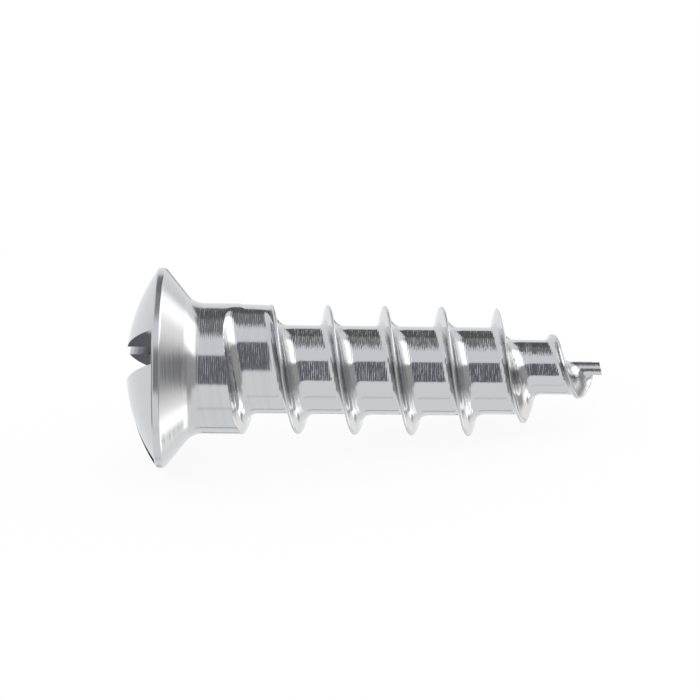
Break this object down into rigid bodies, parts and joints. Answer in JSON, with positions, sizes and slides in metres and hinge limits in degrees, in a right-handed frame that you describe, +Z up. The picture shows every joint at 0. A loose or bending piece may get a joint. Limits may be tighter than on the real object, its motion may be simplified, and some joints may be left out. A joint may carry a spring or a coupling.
{
  "type": "mesh fixation screw",
  "caption": "Small titanium bone screw that pins a mesh or plate: raised countersunk head with a cross slot, plain collar, coarse sharp thread and a tapered end.",
  "frame": {"origin": "on the floor, under the middle of the screw's box as it lies on its side", "axes": "+X towards the threaded tip, +Z up; the screw's own axis leans down 6.6 degrees towards the tip"},
  "size_m": [0.0054, 0.0022, 0.0023],
  "materials": {
    "titanium": "bright turned titanium, fine tool marks along the thread, polished under the head"
  },
  "bodies": {
    "root": {"mesh_fixation_screw": "titanium"}
  },
  "joints": []
}
